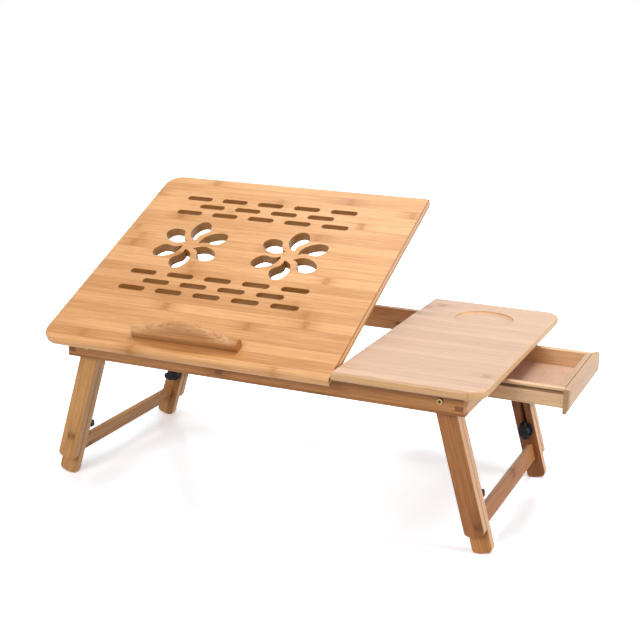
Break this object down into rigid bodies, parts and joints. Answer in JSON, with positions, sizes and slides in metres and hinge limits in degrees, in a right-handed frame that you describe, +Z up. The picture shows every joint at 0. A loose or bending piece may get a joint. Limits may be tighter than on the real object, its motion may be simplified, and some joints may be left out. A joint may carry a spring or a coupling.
{
  "type": "folding laptop stand with drawer",
  "caption": "Folding bamboo laptop stand: a tilting vented panel, a fixed side panel with a drawer and cup recess, and fold-in, height-adjustable legs.",
  "frame": {"origin": "on the floor, under the middle of the whole outline with the drawer partly open and the panel raised", "axes": "+Z up; +X to the right, the way the drawer opens; +Y from the user towards the back; +X is the longest extent"},
  "size_m": [0.6356, 0.3594, 0.3443],
  "materials": {
    "top_bamboo": "satin lacquered bamboo, pale",
    "panel_bamboo": "satin lacquered bamboo, golden",
    "frame_bamboo": "satin lacquered bamboo, medium brown",
    "drawer_bamboo": "satin lacquered bamboo",
    "steel": "zinc-plated steel",
    "black_plastic": "black moulded plastic"
  },
  "bodies": {
    "frame": {"front_rail": "frame_bamboo", "rear_rail": "frame_bamboo", "left_end_rail": "frame_bamboo", "right_end_rail": "frame_bamboo", "centre_rail": "frame_bamboo", "fixed_panel": "top_bamboo", "cross_batten": "frame_bamboo", "drawer_runner_front": "frame_bamboo", "drawer_runner_rear": "frame_bamboo", "runner_screws": "steel", "batten_screws": "steel", "hinge_rail_leaves": "steel", "hinge_pins": "steel", "hinge_rail_screws": "steel", "pivot_bolts": "steel", "pivot_nuts": "steel"},
    "tilt_panel_body": {"tilt_panel": "panel_bamboo", "book_stop": "panel_bamboo", "stop_screws": "steel", "hinge_panel_leaves": "steel", "hinge_panel_screws": "steel", "prop_lugs": "frame_bamboo", "lug_screws": "steel", "prop_pins": "steel"},
    "prop": {"prop_arm_left": "frame_bamboo", "prop_arm_right": "frame_bamboo", "prop_foot_rod": "frame_bamboo"},
    "drawer": {"drawer_front": "drawer_bamboo", "drawer_box_front": "drawer_bamboo", "drawer_side_front": "drawer_bamboo", "drawer_side_rear": "drawer_bamboo", "drawer_back": "drawer_bamboo", "drawer_floor": "drawer_bamboo", "drawer_front_screws": "steel"},
    "left_legs": {"upper_leg_left_front": "frame_bamboo", "upper_leg_left_rear": "frame_bamboo", "knob_studs_left": "steel"},
    "left_extension": {"lower_leg_left_front": "frame_bamboo", "lower_leg_left_rear": "frame_bamboo", "stretcher_left": "frame_bamboo"},
    "knob_left_front": {"wing_knob_left_front": "black_plastic"},
    "knob_left_rear": {"wing_knob_left_rear": "black_plastic"},
    "right_legs": {"upper_leg_right_front": "frame_bamboo", "upper_leg_right_rear": "frame_bamboo", "knob_studs_right": "steel"},
    "right_extension": {"lower_leg_right_front": "frame_bamboo", "lower_leg_right_rear": "frame_bamboo", "stretcher_right": "frame_bamboo"},
    "knob_right_front": {"wing_knob_right_front": "black_plastic"},
    "knob_right_rear": {"wing_knob_right_rear": "black_plastic"}
  },
  "joints": [
    {"name": "panel_tilt", "type": "hinge", "parent": "frame", "child": "tilt_panel_body", "pos_m": [-0.1151, -0.15124, 0.1937], "axis": [1, 0, 0], "range_deg": [-24.8, 10.2]},
    {"name": "prop_swing", "type": "hinge", "parent": "tilt_panel_body", "child": "prop", "pos_m": [-0.03225, -0.0545, 0.23466], "axis": [1, 0, 0], "range_deg": [-26.72, 64.68]},
    {"name": "drawer_slide", "type": "slide", "parent": "frame", "child": "drawer", "axis": [1, 0, 0], "range_m": [-0.089, 0.008]},
    {"name": "left_leg_fold", "type": "hinge", "parent": "frame", "child": "left_legs", "pos_m": [-0.2567, 0.00116, 0.1796], "axis": [0, -1, 0], "range_deg": [0, 105.95]},
    {"name": "left_leg_extension", "type": "slide", "parent": "left_legs", "child": "left_extension", "axis": [0.2748, 0, 0.9615], "range_m": [-0.08, 0]},
    {"name": "knob_left_front_turn", "type": "hinge", "parent": "left_legs", "child": "knob_left_front", "pos_m": [-0.28981, -0.11554, 0.06374], "axis": [0, 1, 0], "range_deg": [0, 180]},
    {"name": "knob_left_rear_turn", "type": "hinge", "parent": "left_legs", "child": "knob_left_rear", "pos_m": [-0.28981, 0.11786, 0.06374], "axis": [0, 1, 0], "range_deg": [0, 180]},
    {"name": "right_leg_fold", "type": "hinge", "parent": "frame", "child": "right_legs", "pos_m": [0.1922, 0.00116, 0.1796], "axis": [0, 1, 0], "range_deg": [0, 105.95]},
    {"name": "right_leg_extension", "type": "slide", "parent": "right_legs", "child": "right_extension", "axis": [-0.2748, 0, 0.9615], "range_m": [-0.08, 0]},
    {"name": "knob_right_front_turn", "type": "hinge", "parent": "right_legs", "child": "knob_right_front", "pos_m": [0.22532, -0.11554, 0.06374], "axis": [0, 1, 0], "range_deg": [0, 180]},
    {"name": "knob_right_rear_turn", "type": "hinge", "parent": "right_legs", "child": "knob_right_rear", "pos_m": [0.22532, 0.11786, 0.06374], "axis": [0, 1, 0], "range_deg": [0, 180]}
  ],
  "couplings": [
    {"joint": "prop_swing", "follows": "panel_tilt", "ratio": -2.6}
  ]
}
